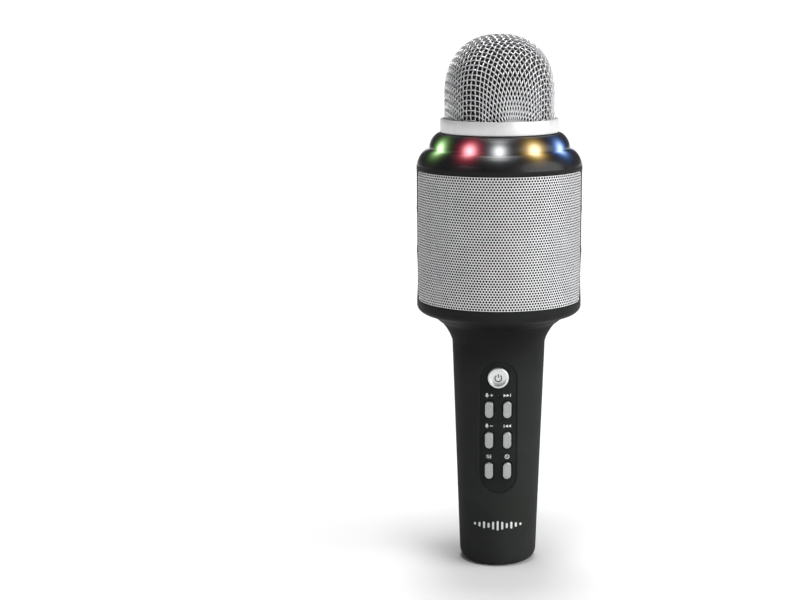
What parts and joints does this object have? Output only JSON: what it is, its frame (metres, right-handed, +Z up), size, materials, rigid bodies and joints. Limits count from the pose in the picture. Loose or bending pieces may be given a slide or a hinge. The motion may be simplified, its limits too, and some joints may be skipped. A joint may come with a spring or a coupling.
{
  "type": "toy karaoke microphone",
  "caption": "Handheld toy karaoke microphone: wire-mesh head, ring of coloured lights, speaker barrel with perforated grille, and a handle with sprung buttons.",
  "frame": {"origin": "middle of the flat foot that the microphone stands on", "axes": "+Z up along the microphone from the foot to the mesh head; the buttons and the speaker grille face -Y; +X is to the right of someone looking at the buttons"},
  "size_m": [0.077, 0.077, 0.2503],
  "materials": {
    "matte_black": "soft satin, slightly green black, fine moulded grain",
    "panel_black": "fine matt texture with pale printed symbols",
    "gloss_black": "polished",
    "smoked_clear": "polished, translucent",
    "silver_plastic": "satin silver paint on plastic",
    "satin_metal": "satin, bright",
    "mesh_metal": "bright woven wire",
    "grille_metal": "perforated sheet, satin silver",
    "black_cloth": "thin acoustic cloth",
    "grey_foam": "open-cell foam",
    "green_board": "solder mask",
    "light_body": "diffusing light package",
    "plain_steel": "zinc plated",
    "black_plastic": "as moulded",
    "dark_magnet": "sintered, dark",
    "cone_paper": "pressed black paper",
    "copper_wire": "enamelled copper",
    "battery_wrap": "shrink sleeve over a metal can",
    "black_rubber": "soft",
    "red_insulation": "satin",
    "grey_insulation": "satin"
  },
  "bodies": {
    "body": {"barrel_shell": "matte_black", "battery": "battery_wrap", "battery_cradle": "black_plastic", "button_board": "green_board", "button_panel": "panel_black", "capsule_cradle": "black_rubber", "capsule_lead": "grey_insulation", "case_screw_1": "plain_steel", "case_screw_2": "plain_steel", "case_screw_3": "plain_steel", "case_screw_4": "plain_steel", "end_cap": "black_plastic", "grille_cloth": "black_cloth", "handle_front": "matte_black", "handle_rear": "matte_black", "light_01": "light_body", "light_02": "light_body", "light_03": "light_body", "light_04": "light_body", "light_05": "light_body", "light_06": "light_body", "light_07": "light_body", "light_08": "light_body", "light_09": "light_body", "light_10": "light_body", "light_11": "light_body", "light_12": "light_body", "light_board": "green_board", "light_lens": "smoked_clear", "main_board": "green_board", "mic_capsule": "satin_metal", "mic_down_switch": "black_plastic", "mic_up_switch": "black_plastic", "mode_switch": "black_plastic", "neck_deck": "black_plastic", "next_switch": "black_plastic", "power_switch": "black_plastic", "previous_switch": "black_plastic", "shoulder_ring": "gloss_black", "speaker_baffle": "black_plastic", "speaker_frame": "plain_steel", "speaker_grille": "grille_metal", "speaker_lead": "red_insulation", "speaker_magnet": "dark_magnet", "status_light": "smoked_clear", "usb_socket": "plain_steel", "voice_off_switch": "black_plastic"},
    "head": {"mesh_basket": "mesh_metal", "head_collar": "satin_metal"},
    "foam": {"foam_liner": "grey_foam"},
    "cone": {"speaker_cone": "cone_paper", "cone_cap": "cone_paper", "voice_coil": "copper_wire"},
    "power_button": {"power_button": "silver_plastic"},
    "mic_up_button": {"mic_up_button": "silver_plastic"},
    "mic_down_button": {"mic_down_button": "silver_plastic"},
    "mode_button": {"mode_button": "silver_plastic"},
    "next_button": {"next_button": "silver_plastic"},
    "previous_button": {"previous_button": "silver_plastic"},
    "voice_off_button": {"voice_off_button": "silver_plastic"}
  },
  "joints": [
    {"name": "head_lift", "type": "slide", "parent": "body", "child": "foam", "axis": [0, 0, 1], "range_m": [0, 0.00502]},
    {"name": "head_turn", "type": "hinge", "parent": "foam", "child": "head", "pos_m": [0, 0, 0.2083], "axis": [0, 0, 1], "range_deg": [0, 720]},
    {"name": "cone_travel", "type": "slide", "parent": "body", "child": "cone", "axis": [0, -1, 0], "range_m": [-0.0005, 0.0005], "stiffness_N_per_m": 2000},
    {"name": "power_press", "type": "slide", "parent": "body", "child": "power_button", "axis": [0, 1, 0], "range_m": [0, 0.0008], "stiffness_N_per_m": 900, "springref_m": -0.0004},
    {"name": "mic_up_press", "type": "slide", "parent": "body", "child": "mic_up_button", "axis": [0, 1, 0], "range_m": [0, 0.0006], "stiffness_N_per_m": 1000, "springref_m": -0.0004},
    {"name": "mic_down_press", "type": "slide", "parent": "body", "child": "mic_down_button", "axis": [0, 1, 0], "range_m": [0, 0.0006], "stiffness_N_per_m": 1000, "springref_m": -0.0004},
    {"name": "mode_press", "type": "slide", "parent": "body", "child": "mode_button", "axis": [0, 1, 0], "range_m": [0, 0.0006], "stiffness_N_per_m": 1000, "springref_m": -0.0004},
    {"name": "next_press", "type": "slide", "parent": "body", "child": "next_button", "axis": [0, 1, 0], "range_m": [0, 0.0006], "stiffness_N_per_m": 1000, "springref_m": -0.0004},
    {"name": "previous_press", "type": "slide", "parent": "body", "child": "previous_button", "axis": [0, 1, 0], "range_m": [0, 0.0006], "stiffness_N_per_m": 1000, "springref_m": -0.0004},
    {"name": "voice_off_press", "type": "slide", "parent": "body", "child": "voice_off_button", "axis": [0, 1, 0], "range_m": [0, 0.0006], "stiffness_N_per_m": 1000, "springref_m": -0.0004}
  ],
  "couplings": [
    {"joint": "head_lift", "follows": "head_turn", "m_per_rad": 0.00039789}
  ]
}
